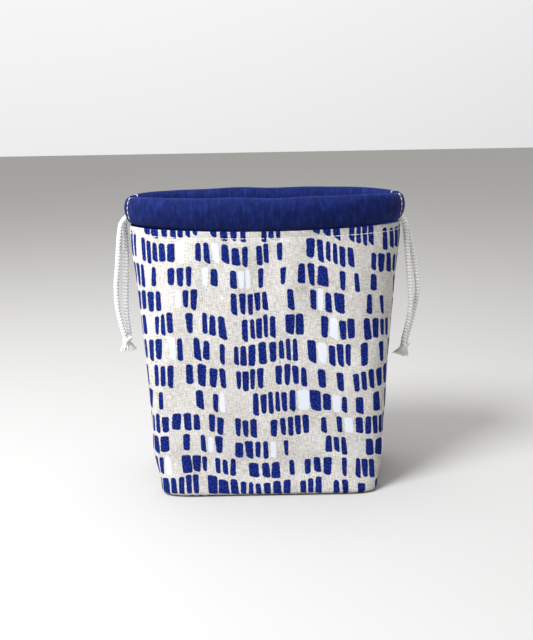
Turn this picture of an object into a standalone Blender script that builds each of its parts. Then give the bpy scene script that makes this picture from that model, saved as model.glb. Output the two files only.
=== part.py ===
"""Drawstring bag with a boxed bottom: a cotton canvas bag that stands open, lined and stiffened, with a
folded casing round its mouth and two cotton drawstrings. Metres, +Z up, front towards -Y, and the origin
on the surface that it stands on, in the middle of its base."""

import math

import bmesh
import bpy
from mathutils import Matrix, Vector

# Driving dimensions of the bag body
BODY_HEIGHT = 0.184  # top edge of the canvas, where the casing is sewn on
BASE_WIDTH = 0.150
BASE_DEPTH = 0.085
MOUTH_WIDTH = 0.1864  # of the canvas at its top edge
MOUTH_DEPTH = 0.069
BASE_EDGE_RADIUS = 0.005
CANVAS = 0.0009  # cloth thicknesses
INTERLINING = 0.0008
LINING = 0.0006
GAP = 0.0003  # kept between pieces that touch

# The casing, a folded strip that makes a flat tube along each half of the mouth
CASING_HEIGHT = 0.0217
CASING_WALL = 0.0007
CASING_ROOM = 1.43  # width of the tube's inside, in cord diameters
CASING_END_Y = 0.005  # each end stops this far from the side seam
CASING_SQUARENESS = 3.0  # exponent of the tube's section

# Sewing
SEAM_WIDTH = 0.0010
THREAD_RADIUS = 0.00025
TOPSTITCH_DROP = 0.0045  # below the canvas's top edge
HEM_STITCH_INSET = 0.0033  # from the casing's end
HEM_STITCH_REACH = 62.0  # degrees up and down the casing's section

# Drawstrings
CORD_RADIUS = 0.00175
CORD_CLEARANCE = 0.0005  # between the two cords in a casing
EXIT_STEP = 0.0013  # from the casing's end to where a strand or a bridge begins
CORD_SEAT = 0.00225  # room under the lower cord, where the tube narrows
KNOT_WIDTH = 0.0072
KNOT_HEIGHT = 0.0067
FRAY_LENGTH = 0.0085
FRAY_TOP_RADIUS = 0.0011
FRAY_TIP_RADIUS = 0.0021

# Half width, half depth and squareness up the bag, as shares of the way from the base's size to the
# mouth's: share of height, share of half width, share of half depth, exponent of the outline.
PROFILE = [
    (0.00, 0.00, 0.00, 9.0),
    (0.16, 0.19, 0.11, 6.5),
    (0.32, 0.32, 0.28, 5.0),
    (0.53, 0.48, 0.45, 3.6),
    (0.80, 0.78, 0.74, 2.6),
    (1.00, 1.00, 1.00, 2.15),
]

CASING_THICKNESS = 2 * (CORD_RADIUS * CASING_ROOM + CASING_WALL)
CASING_MIDDLE_Z = BODY_HEIGHT + GAP + CASING_HEIGHT / 2
LOWER_CORD_Z = BODY_HEIGHT + GAP + CASING_WALL + CORD_SEAT + CORD_RADIUS
UPPER_CORD_Z = LOWER_CORD_Z + 2 * CORD_RADIUS + CORD_CLEARANCE

RING_STEPS = 18  # faces round one half of the bag
WALL_STEPS = 8
EDGE_STEPS = 2  # faces round the base's edge
SECTION_STEPS = 12  # faces round the casing's section
CORD_SPACING = 0.009

# Routes of the hanging cords, from the casing's end to the knot, as x, y, z. Each drawstring's front
# strand comes out of the front casing and its back strand out of the back casing.
LEFT_ROUTES = {
    "front": [
        (-0.0950, -0.0024, 0.1929),
        (-0.0980, -0.0021, 0.1912),
        (-0.0998, -0.0021, 0.1860),
        (-0.1010, -0.0022, 0.1740),
        (-0.1027, -0.0024, 0.1590),
        (-0.1048, -0.0026, 0.1413),
        (-0.1044, -0.0025, 0.1246),
        (-0.1011, -0.0021, 0.1073),
    ],
    "back": [
        (-0.0948, 0.0024, 0.1929),
        (-0.0971, 0.0021, 0.1912),
        (-0.0979, 0.0021, 0.1860),
        (-0.0970, 0.0021, 0.1770),
        (-0.0975, 0.0024, 0.1600),
        (-0.0988, 0.0026, 0.1412),
        (-0.0996, 0.0025, 0.1231),
        (-0.0985, 0.0021, 0.1073),
    ],
}
RIGHT_ROUTES = {
    "front": [
        (0.0950, -0.0024, 0.1889),
        (0.0968, -0.0021, 0.1870),
        (0.0973, -0.0021, 0.1810),
        (0.0976, -0.0022, 0.1720),
        (0.0996, -0.0024, 0.1531),
        (0.1014, -0.0026, 0.1344),
        (0.1010, -0.0025, 0.1180),
        (0.0974, -0.0021, 0.1004),
    ],
    "back": [
        (0.0952, 0.0024, 0.1889),
        (0.0977, 0.0021, 0.1870),
        (0.0993, 0.0021, 0.1810),
        (0.1008, 0.0022, 0.1720),
        (0.1050, 0.0025, 0.1530),
        (0.1070, 0.0026, 0.1357),
        (0.1048, 0.0025, 0.1200),
        (0.1000, 0.0021, 0.1004),
    ],
}
# Centre of each knot, and where the two frayed ends under it point, as x and y per unit of drop
LEFT_KNOT = (-0.0997, 0.0, 0.1030)
RIGHT_KNOT = (0.0987, 0.0, 0.0961)
LEFT_FRAYS = {"front": (-0.35, -0.15), "back": (0.45, 0.15)}
RIGHT_FRAYS = {"front": (-0.90, -0.15), "back": (-0.08, 0.15)}


def clear_scene():
    for thing in list(bpy.data.objects):
        bpy.data.objects.remove(thing, do_unlink=True)


def make_material(name, colour, roughness):
    material = bpy.data.materials.new(name)
    material.use_nodes = True
    shader = material.node_tree.nodes["Principled BSDF"]
    shader.inputs["Base Color"].default_value = (*colour, 1.0)
    shader.inputs["Roughness"].default_value = roughness
    shader.inputs["Metallic"].default_value = 0.0
    return material


def add_object(name, data, material, collection):
    made = bpy.data.objects.new(name, data)
    data.materials.append(material)
    collection.objects.link(made)
    return made


def add_solid(name, points, faces, material, collection):
    """A mesh object from points and faces, with its faces turned outwards."""
    mesh = bpy.data.meshes.new(name)
    mesh.from_pydata(points, [], faces)
    shape = bmesh.new()
    shape.from_mesh(mesh)
    bmesh.ops.recalc_face_normals(shape, faces=shape.faces)
    shape.to_mesh(mesh)
    shape.free()
    mesh.shade_smooth()
    return add_object(name, mesh, material, collection)


def add_cord(name, points, radius, resolution, material, collection):
    """A round cord as a curve with filled caps."""
    curve = bpy.data.curves.new(name, "CURVE")
    curve.dimensions = "3D"
    curve.bevel_depth = radius
    curve.bevel_resolution = resolution
    curve.use_fill_caps = True
    spline = curve.splines.new("POLY")
    spline.points.add(len(points) - 1)
    for place, point in zip(spline.points, points, strict=True):
        place.co = (*point, 1.0)
    return add_object(name, curve, material, collection)


def spline_value(before, start, end, after, share):
    """Catmull-Rom interpolation between start and end, for numbers and for vectors."""
    slope_in = (end - before) * 0.5
    slope_out = (after - start) * 0.5
    squared, cubed = share**2, share**3
    return (
        start * (2 * cubed - 3 * squared + 1)
        + slope_in * (cubed - 2 * squared + share)
        + end * (3 * squared - 2 * cubed)
        + slope_out * (cubed - squared)
    )


def profile_at(z):
    """Half width, half depth and squareness of the canvas's outer face at a height."""
    height = min(max(z / BODY_HEIGHT, 0.0), 1.0)
    step = 0
    while step < len(PROFILE) - 2 and PROFILE[step + 1][0] < height:
        step += 1
    rows = [Vector(PROFILE[min(max(step + k, 0), len(PROFILE) - 1)]) for k in (-1, 0, 1, 2)]
    share = (height - rows[1][0]) / (rows[2][0] - rows[1][0])
    _, wide, deep, squareness = spline_value(*rows, share)
    half_width = BASE_WIDTH / 2 + wide * (MOUTH_WIDTH - BASE_WIDTH) / 2
    half_depth = BASE_DEPTH / 2 + deep * (MOUTH_DEPTH - BASE_DEPTH) / 2
    return half_width, half_depth, squareness


def outline_point(half_width, half_depth, squareness, angle):
    """A point on a superellipse. Angle 0 is at -X, 90 at -Y and 180 at +X, in degrees."""
    across, along = -math.cos(math.radians(angle)), math.sin(math.radians(angle))
    x = math.copysign(abs(across) ** (2 / squareness), across) * half_width
    return x, -abs(along) ** (2 / squareness) * half_depth


def front_row(z, inset, edge_y, steps=RING_STEPS):
    """Points round the front half at one height, from -X to +X, ending at the seam's edges."""
    half_width, half_depth, squareness = profile_at(z)
    half_width, half_depth = half_width - inset, half_depth - inset
    row = []
    for step in range(steps + 1):
        x, y = outline_point(half_width, half_depth, squareness, 180 * step / steps)
        row.append((x, min(y, -edge_y), z))
    return row


def skin_rows(depth, edge_y):
    """Rows of one skin of a cloth layer, from the base to the top edge. Depth is how far in the skin is."""
    radius = BASE_EDGE_RADIUS - depth
    rows = []
    for step in range(EDGE_STEPS + 1):
        turn = math.radians(90 * step / EDGE_STEPS)
        row = front_row(0.0, depth + radius * (1 - math.sin(turn)), edge_y)
        rows.append([(x, y, depth + radius * (1 - math.cos(turn))) for x, y, _ in row])
    for step in range(1, WALL_STEPS + 1):
        z = BASE_EDGE_RADIUS + (BODY_HEIGHT - BASE_EDGE_RADIUS) * step / WALL_STEPS
        rows.append(front_row(z, depth, edge_y))
    return rows


def turned_to_back(points):
    return [(x, -y, z) for x, y, z in points]


def add_panel(name, depth, thickness, edge_y, at_back, material, collection):
    """One cloth layer of the front or back: wall, half of both sides and half of the base."""
    outer, inner = skin_rows(depth, edge_y), skin_rows(depth + thickness, edge_y)
    points = [point for rows in (outer, inner) for row in rows for point in row]
    wide, high = len(outer[0]), len(outer)

    def corner(skin, row, place):
        return (skin * high + row) * wide + place

    faces = []
    for skin in (0, 1):
        for row in range(high - 1):
            for place in range(wide - 1):
                faces.append(
                    [
                        corner(skin, row, place),
                        corner(skin, row, place + 1),
                        corner(skin, row + 1, place + 1),
                        corner(skin, row + 1, place),
                    ]
                )
        for place in range(wide // 2):  # the base, as strips from one side to the other
            strip = [place, place + 1, wide - 2 - place, wide - 1 - place]
            faces.append([corner(skin, 0, k) for k in dict.fromkeys(strip)])
    for place in range(wide - 1):  # the top edge
        top = high - 1
        faces.append(
            [
                corner(0, top, place),
                corner(0, top, place + 1),
                corner(1, top, place + 1),
                corner(1, top, place),
            ]
        )
    for row in range(high - 1):  # the edges at the side seams
        for place in (0, wide - 1):
            faces.append(
                [
                    corner(0, row, place),
                    corner(0, row + 1, place),
                    corner(1, row + 1, place),
                    corner(1, row, place),
                ]
            )
    faces.append([corner(0, 0, 0), corner(0, 0, wide - 1), corner(1, 0, wide - 1), corner(1, 0, 0)])
    if at_back:
        points = turned_to_back(points)
    return add_solid(name, points, faces, material, collection)


def add_strip(name, outer, inner, half_width, material, collection):
    """A strip of square section between two lines of points, centred on the plane y = 0."""
    points, faces = [], []
    for (x, _, z), (inner_x, _, inner_z) in zip(outer, inner, strict=True):
        points += [
            (x, -half_width, z),
            (x, half_width, z),
            (inner_x, half_width, inner_z),
            (inner_x, -half_width, inner_z),
        ]
    for step in range(len(outer) - 1):
        for side in range(4):
            here, there = 4 * step + side, 4 * step + (side + 1) % 4
            faces.append([here, there, there + 4, here + 4])
    faces += [[0, 1, 2, 3], [len(points) - 4 + side for side in range(4)]]
    return add_solid(name, points, faces, material, collection)


def add_side_seam(name, side, material, collection):
    """The sewn side seam, from the base's edge to the canvas's top edge."""
    place = 0 if side < 0 else -1
    outer = [row[place] for row in skin_rows(0.0, GAP)]
    inner = [row[place] for row in skin_rows(CANVAS, GAP)]
    return add_strip(name, outer, inner, SEAM_WIDTH / 2, material, collection)


def add_base_seam(name, material, collection):
    """The seam along the middle of the base, between the feet of the side seams."""
    reach = BASE_WIDTH / 2 - BASE_EDGE_RADIUS - GAP
    outer = [(-reach, 0, 0.0), (reach, 0, 0.0)]
    inner = [(-reach, 0, CANVAS), (reach, 0, CANVAS)]
    return add_strip(name, outer, inner, SEAM_WIDTH / 2, material, collection)


def add_corner_seam(name, side, material, collection):
    """Thread of the seam that boxes a bottom corner, along the base's edge under a side."""
    turn = math.radians(50)
    out = BASE_EDGE_RADIUS + GAP + THREAD_RADIUS
    x = BASE_WIDTH / 2 - BASE_EDGE_RADIUS + out * math.sin(turn)
    z = BASE_EDGE_RADIUS - out * math.cos(turn)
    reach = BASE_DEPTH * 0.30
    ends = [(side * x, -reach, z), (side * x, reach, z)]
    return add_cord(name, ends, THREAD_RADIUS, 0, material, collection)


def casing_angles():
    """Angles round the front half of the mouth between the casing's two ends."""
    first = math.degrees(math.asin(CASING_END_Y / (MOUTH_DEPTH / 2)))
    return [first + (180 - 2 * first) * step / RING_STEPS for step in range(RING_STEPS + 1)]


def mouth_point(angle, out, z):
    """A point round the front half of the mouth, this far out from the casing's middle line."""
    x, y = outline_point(MOUTH_WIDTH / 2 + out, MOUTH_DEPTH / 2 + out, 2.0, angle)
    return x, y, z


def section_offset(half_thickness, half_height, turn):
    """How far out and up a point of the casing's section is. Turn 0 faces out and 90 up, in degrees."""
    across, up = math.cos(math.radians(turn)), math.sin(math.radians(turn))
    power = 2 / CASING_SQUARENESS
    out = math.copysign(abs(across) ** power, across) * half_thickness
    rise = math.copysign(abs(up) ** power, up) * half_height
    return out, rise


def add_casing(name, at_back, material, collection):
    """The folded strip along one half of the mouth: a flat tube, open at both ends."""
    points, faces = [], []
    skins = [
        (CASING_THICKNESS / 2, CASING_HEIGHT / 2),
        (CASING_THICKNESS / 2 - CASING_WALL, CASING_HEIGHT / 2 - CASING_WALL),
    ]
    angles = casing_angles()
    for half_thickness, half_height in skins:
        for angle in angles:
            for step in range(SECTION_STEPS):
                turn = 360 * step / SECTION_STEPS
                out, rise = section_offset(half_thickness, half_height, turn)
                points.append(mouth_point(angle, out, CASING_MIDDLE_Z + rise))

    def corner(skin, row, step):
        return (skin * len(angles) + row) * SECTION_STEPS + step % SECTION_STEPS

    for step in range(SECTION_STEPS):
        for row in range(len(angles) - 1):
            for skin in (0, 1):
                faces.append(
                    [
                        corner(skin, row, step),
                        corner(skin, row, step + 1),
                        corner(skin, row + 1, step + 1),
                        corner(skin, row + 1, step),
                    ]
                )
        for row in (0, len(angles) - 1):
            faces.append(
                [
                    corner(0, row, step),
                    corner(0, row, step + 1),
                    corner(1, row, step + 1),
                    corner(1, row, step),
                ]
            )
    if at_back:
        points = turned_to_back(points)
    return add_solid(name, points, faces, material, collection)


def add_topstitch(name, at_back, material, collection):
    """The line of stitching through all layers, just under the canvas's top edge."""
    row = front_row(BODY_HEIGHT - TOPSTITCH_DROP, -(GAP + THREAD_RADIUS), 2 * THREAD_RADIUS)
    points = turned_to_back(row) if at_back else row
    return add_cord(name, points, THREAD_RADIUS, 0, material, collection)


def add_hem_stitch(name, side, at_back, material, collection):
    """The stitching that holds a casing's folded end, up its outer face."""
    end_y = CASING_END_Y + HEM_STITCH_INSET
    angle = math.degrees(math.asin(end_y / (MOUTH_DEPTH / 2)))
    half_thickness = CASING_THICKNESS / 2 + GAP + THREAD_RADIUS
    half_height = CASING_HEIGHT / 2 + GAP + THREAD_RADIUS
    points = []
    for step in range(-4, 5):
        turn = HEM_STITCH_REACH * step / 4
        out, rise = section_offset(half_thickness, half_height, turn)
        x, y, z = mouth_point(angle, out, CASING_MIDDLE_Z + rise)
        points.append((-side * x, -y if at_back else y, z))
    return add_cord(name, points, THREAD_RADIUS, 0, material, collection)


def seam_crossing(side, y, z):
    """A point on the casing's middle line, carried on across the gap at a side seam."""
    x = MOUTH_WIDTH / 2 * math.sqrt(1 - (y / (MOUTH_DEPTH / 2)) ** 2)
    return Vector((side * x, y, z))


def add_cord_run(name, at_back, z, material, collection):
    """The stretch of a drawstring inside one casing, from end to end."""
    angles = casing_angles()
    length = MOUTH_WIDTH + MOUTH_DEPTH / 2
    steps = round(length / CORD_SPACING)
    points = []
    for step in range(steps + 1):
        angle = angles[0] + (angles[-1] - angles[0]) * step / steps
        points.append(mouth_point(angle, 0.0, z))
    if at_back:
        points = turned_to_back(points)
    return add_cord(name, points, CORD_RADIUS, 2, material, collection)


def add_bridge(name, side, z, material, collection):
    """Where a drawstring crosses from the front casing to the back one, across a side seam."""
    reach = CASING_END_Y - EXIT_STEP
    points = [seam_crossing(side, reach * share, z) for share in (-1, -0.5, 0, 0.5, 1)]
    return add_cord(name, points, CORD_RADIUS, 2, material, collection)


def smooth_route(route, spacing):
    """Points every so often along a smooth curve through the route's points."""
    fine = []
    for step in range(len(route) - 1):
        before, after = route[max(step - 1, 0)], route[min(step + 2, len(route) - 1)]
        for part in range(12):
            fine.append(spline_value(before, route[step], route[step + 1], after, part / 12))
    fine.append(route[-1])
    total = sum((b - a).length for a, b in zip(fine, fine[1:], strict=False))
    count = max(round(total / spacing), 2)
    points, travelled, target = [fine[0]], 0.0, total / count
    for a, b in zip(fine, fine[1:], strict=False):
        step = (b - a).length
        while travelled + step >= target and len(points) < count:
            points.append(a.lerp(b, (target - travelled) / step))
            target += total / count
        travelled += step
    points.append(fine[-1])
    return points


def add_strand(name, side, at_back, z, route, material, collection):
    """One hanging strand, from the casing's end down to the knot."""
    start_y = CASING_END_Y - EXIT_STEP
    start = seam_crossing(side, start_y if at_back else -start_y, z)
    points = smooth_route([start] + [Vector(point) for point in route], CORD_SPACING * 0.75)
    return add_cord(name, points, CORD_RADIUS, 2, material, collection)


def add_knot(name, centre, material, collection):
    """The overhand knot that ties a drawstring's two ends together, as a plain rounded solid."""
    mesh = bpy.data.meshes.new(name)
    shape = bmesh.new()
    bmesh.ops.create_uvsphere(shape, u_segments=12, v_segments=8, radius=0.5)
    size = Matrix.Diagonal((KNOT_WIDTH, KNOT_WIDTH, KNOT_HEIGHT, 1.0))
    bmesh.ops.transform(shape, matrix=size, verts=shape.verts)
    shape.to_mesh(mesh)
    shape.free()
    mesh.shade_smooth()
    made = add_object(name, mesh, material, collection)
    made.location = centre
    return made


def add_frayed_end(name, centre, lean, material, collection):
    """A frayed cord end that fans out under a knot. Lean is how far it goes in x and y per unit of drop."""
    down = Vector((*lean, -1.0)).normalized()
    reach = KNOT_HEIGHT / 2 + 2 * GAP + FRAY_TOP_RADIUS * 0.5 + FRAY_LENGTH / 2
    mesh = bpy.data.meshes.new(name)
    shape = bmesh.new()
    bmesh.ops.create_cone(
        shape,
        cap_ends=True,
        segments=8,
        radius1=FRAY_TOP_RADIUS,
        radius2=FRAY_TIP_RADIUS,
        depth=FRAY_LENGTH,
        matrix=Matrix.Translation(down * reach) @ down.to_track_quat("Z", "Y").to_matrix().to_4x4(),
    )
    shape.to_mesh(mesh)
    shape.free()
    made = add_object(name, mesh, material, collection)
    made.location = centre
    return made


def build_panels(materials, collection):
    layers = [
        ("outer", 0.0, CANVAS, SEAM_WIDTH / 2 + GAP, materials["canvas"]),
        ("interlining", CANVAS + GAP, INTERLINING, GAP / 2, materials["interlining"]),
        ("lining", CANVAS + INTERLINING + 2 * GAP, LINING, GAP / 2, materials["navy_cotton"]),
    ]
    for layer, depth, thickness, edge_y, material in layers:
        for half in ("front", "back"):
            name = f"{layer}_{half}_panel"
            add_panel(name, depth, thickness, edge_y, half == "back", material, collection)


def build_seams(materials, collection):
    thread = materials["white_thread"]
    canvas = materials["canvas"]
    add_base_seam("base_seam", canvas, collection)
    for side, word in ((-1, "left"), (1, "right")):
        add_side_seam(f"side_seam_{word}", side, canvas, collection)
        add_corner_seam(f"corner_seam_thread_{word}", side, thread, collection)


def build_mouth(materials, collection):
    thread = materials["white_thread"]
    for half in ("front", "back"):
        at_back = half == "back"
        add_casing(f"casing_{half}", at_back, materials["navy_cotton"], collection)
        add_topstitch(f"topstitch_{half}", at_back, thread, collection)
        for side, word in ((-1, "left"), (1, "right")):
            add_hem_stitch(f"hem_stitch_{half}_{word}", side, at_back, thread, collection)


def build_drawstrings(materials, collection):
    cord = materials["cotton_cord"]
    cords = [
        ("left", -1, UPPER_CORD_Z, LEFT_ROUTES, LEFT_KNOT, LEFT_FRAYS),
        ("right", 1, LOWER_CORD_Z, RIGHT_ROUTES, RIGHT_KNOT, RIGHT_FRAYS),
    ]
    for word, side, z, routes, knot, frays in cords:
        for half, route in routes.items():
            at_back = half == "back"
            add_cord_run(f"{word}_cord_{half}_run", at_back, z, cord, collection)
            add_strand(f"{word}_cord_{half}_strand", side, at_back, z, route, cord, collection)
        add_bridge(f"{word}_cord_bridge", -side, z, cord, collection)
        add_knot(f"{word}_knot", knot, cord, collection)
        for half, lean in frays.items():
            add_frayed_end(f"{word}_cord_{half}_end", knot, lean, cord, collection)


def main():
    clear_scene()
    collection = bpy.data.collections.new("drawstring_bag")
    bpy.context.scene.collection.children.link(collection)
    materials = {
        "canvas": make_material("canvas", (0.62, 0.55, 0.45), 0.95),
        "interlining": make_material("interlining", (0.75, 0.74, 0.70), 0.95),
        "navy_cotton": make_material("navy_cotton", (0.016, 0.024, 0.14), 0.85),
        "white_thread": make_material("white_thread", (0.82, 0.82, 0.80), 0.70),
        "cotton_cord": make_material("cotton_cord", (0.80, 0.78, 0.73), 0.90),
    }
    build_panels(materials, collection)
    build_seams(materials, collection)
    build_mouth(materials, collection)
    build_drawstrings(materials, collection)


main()
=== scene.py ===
import math
import random

import bpy
import numpy as np
from mathutils import Matrix, Vector


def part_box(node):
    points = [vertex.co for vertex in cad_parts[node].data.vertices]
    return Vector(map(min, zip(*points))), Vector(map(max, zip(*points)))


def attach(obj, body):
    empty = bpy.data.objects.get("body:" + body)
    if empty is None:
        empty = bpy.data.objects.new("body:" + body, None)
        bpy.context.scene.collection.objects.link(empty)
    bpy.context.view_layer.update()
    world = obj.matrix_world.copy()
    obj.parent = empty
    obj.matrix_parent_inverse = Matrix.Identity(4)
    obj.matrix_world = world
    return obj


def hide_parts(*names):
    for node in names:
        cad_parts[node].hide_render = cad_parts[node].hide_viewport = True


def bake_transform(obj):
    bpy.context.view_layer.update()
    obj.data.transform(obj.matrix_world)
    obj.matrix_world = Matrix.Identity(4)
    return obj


# A drawstring bag of printed canvas that stands open like a bin. Metres, front towards -Y.
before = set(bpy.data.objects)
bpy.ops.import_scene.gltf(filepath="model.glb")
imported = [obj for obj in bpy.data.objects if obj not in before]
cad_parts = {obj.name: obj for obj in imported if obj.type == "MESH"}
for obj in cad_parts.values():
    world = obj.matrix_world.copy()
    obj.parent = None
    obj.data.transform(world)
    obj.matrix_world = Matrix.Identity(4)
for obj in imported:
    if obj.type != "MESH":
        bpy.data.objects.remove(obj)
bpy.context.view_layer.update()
scene = bpy.context.scene
mm = 0.001
panelLow, panelHigh = (np.array(corner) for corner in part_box("outer_front_panel"))
rimLow, rimHigh = (np.array(corner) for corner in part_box("casing_front"))
halves = (("front", -1), ("back", 1))
sides = (("left", -1), ("right", 1))

print("camera and light")

# What a user would change about the view
view = {
    "place": (-0.0001, -0.5795, 0.2666),
    "tiltDown": 14.6,  # degrees
    "roll": 1.0,  # degrees, the bag's right side up
    "lens": 47.4,
    "skyBright": "#ffffff",
    "skyDim": "#525458",  # low and in front, so that what faces down and forward is darker
    "skyStrength": 1.0,
    "keyStrength": 22.0,
    "topStrength": 5.0,
    "fillStrength": 0.6,
}


def hexColour(code):
    # sRGB hex to linear
    shares = [int(code[k : k + 2], 16) / 255 for k in (1, 3, 5)]
    return [s / 12.92 if s <= 0.04045 else ((s + 0.055) / 1.055) ** 2.4 for s in shares] + [1.0]


def newObject(name, data):
    made = bpy.data.objects.new(name, data)
    scene.collection.objects.link(made)
    return made


def addCamera():
    camera = newObject("camera", bpy.data.cameras.new("camera"))
    camera.data.lens = view["lens"]
    camera.data.sensor_width = 36
    camera.data.dof.use_dof = False
    camera.data.clip_start = 0.01
    turn = Matrix.Rotation(math.radians(90 - view["tiltDown"]), 4, "X")
    roll = Matrix.Rotation(math.radians(-view["roll"]), 4, "Z")
    camera.matrix_world = Matrix.Translation(view["place"]) @ turn @ roll
    scene.camera = camera


def addAreaLight(name, place, aim, size, strength, colour):
    light = bpy.data.lights.new(name, "AREA")
    light.shape = "DISK"
    light.size = size
    light.energy = strength
    light.color = hexColour(colour)[:3]
    made = newObject(name, light)
    made.location = place
    made.rotation_euler = (Vector(aim) - Vector(place)).to_track_quat("-Z", "Y").to_euler()


addCamera()
addAreaLight("skyFromLeft", (-0.52, -0.44, 0.98), (0, 0, 0.12), 0.45, view["keyStrength"], "#f5f8ff")
addAreaLight("skyAbove", (-0.1, 0.05, 1.25), (0, 0, 0.1), 0.8, view["topStrength"], "#f4f7ff")
addAreaLight("softFill", (0.7, -0.9, 0.45), (0, 0, 0.1), 1.2, view["fillStrength"], "#f4f7ff")
scene.view_settings.view_transform = "Standard"  # so that the cloth's colours come out as they are given


def addNode(tree, kind, settings=None, links=None):
    # one node, with its settings and what goes into each socket; a node stands for its first output
    made = tree.nodes.new("ShaderNode" + kind)
    for key, value in (settings or {}).items():
        setattr(made, key, value)
    for key, value in (links or {}).items():
        if isinstance(value, bpy.types.Node):
            value = value.outputs[0]
        if isinstance(value, bpy.types.NodeSocket):
            tree.links.new(value, made.inputs[key])
        else:
            made.inputs[key].default_value = value
    return made


signs = {
    "+": "ADD", "-": "SUBTRACT", "*": "MULTIPLY", "/": "DIVIDE", "*+": "MULTIPLY_ADD",
    ">": "GREATER_THAN", "<": "LESS_THAN",
}


def runSteps(tree, known, steps):
    # a chain of sums: each step is a name, a sign or operation and what goes in, by name or as a number
    for name, sign, *inputs in steps:
        sockets = {k: known.get(item, item) for k, item in enumerate(inputs)}
        known[name] = addNode(tree, "Math", {"operation": signs.get(sign, sign)}, sockets)


def newMaterial(name):
    material = bpy.data.materials.new(name)
    material.use_nodes = True
    return material


def addRamp(tree, share, stops):
    # a colour ramp with its stops as (place, hex colour)
    ramp = addNode(tree, "ValToRGB", None, {0: share})
    elements = ramp.color_ramp.elements
    while len(elements) < len(stops):
        elements.new(0.5)
    for element, (place, code) in zip(elements, stops):
        element.position = place
        element.color = hexColour(code)
    return ramp


def makeSky():
    # a pale studio sky, brighter overhead and behind the bag
    world = bpy.data.worlds.new("paleSky")
    world.use_nodes = True
    tree = world.node_tree
    direction = addNode(tree, "TexCoord")
    towards = {0: direction.outputs["Generated"], 1: (-0.12, 0.36, 0.42)}
    lit = addNode(tree, "VectorMath", {"operation": "DOT_PRODUCT"}, towards)
    share = addNode(tree, "Math", {"operation": "ADD"}, {0: lit.outputs["Value"], 1: 0.36})
    ramp = addRamp(tree, share, [(0.05, view["skyDim"]), (0.85, view["skyBright"])])
    background = tree.nodes["Background"]
    tree.links.new(ramp.outputs[0], background.inputs["Color"])
    background.inputs["Strength"].default_value = view["skyStrength"]
    scene.world = world


makeSky()

print("materials")

# Printed linen and cotton canvas: matt pigment strokes on an oatmeal ground, with slubs in both directions
printed = {
    "linen": "#cfcac3",
    "linenDark": "#938a78",
    "linenLight": "#e9e8e6",
    "blue": "#050b46",
    "blueWorn": "#2842a2",
    "white": "#dfe3ea",
    "rowPitch": 16.3,  # millimetres from here on
    "spacing": 5.95,
    "halfWidth": 1.92,
    "halfHeight": 5.9,
    "cornerRadius": 1.75,
    "drop": 3.2,  # how far down the print is shifted
    "rowDrift": 17.0,  # how far a row wanders up and down
    "crowding": 11.0,  # how far the strokes of a row wander together and apart
    "edgeWobble": 0.38,
    "gapShare": 0.372,
    "whiteShare": 0.062,
    "missingShare": 0.07,
    "threadSpacing": 1.0,  # 0.55 in the cloth, drawn coarser so that it shows
    "bumpDepth": 0.00022,
}
flat = {"noise_dimensions": "2D"}
even = (1, 1, 1)


def clothMaterial(name):
    # a material, its nodes and the flat cloth's own measure in millimetres
    material = newMaterial(name)
    tree = material.node_tree
    uv = addNode(tree, "UVMap", {"uv_map": "cloth"})
    return material, tree, addNode(tree, "VectorMath", {"operation": "SCALE"}, {0: uv, "Scale": 1000.0})


def clothNoise(tree, place, stretch, scale, detail, roughness=0.5):
    # soft noise on the flat cloth, drawn out along one thread or the other
    at = addNode(tree, "VectorMath", {"operation": "MULTIPLY"}, {0: place, 1: stretch})
    noise = {"Vector": at, "Scale": scale, "Detail": detail, "Roughness": roughness}
    return addNode(tree, "TexNoise", flat, noise)


def finishSurface(tree, colour, height, depth, strength, values):
    # what the shader takes: a colour, a relief and its even values
    shader = tree.nodes["Principled BSDF"]
    bump = addNode(tree, "Bump", None, {"Height": height, "Distance": depth, "Strength": strength})
    tree.links.new(colour.outputs[0], shader.inputs["Base Color"])
    tree.links.new(bump.outputs[0], shader.inputs["Normal"])
    for key, value in values.items():
        shader.inputs[key].default_value = value


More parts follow.
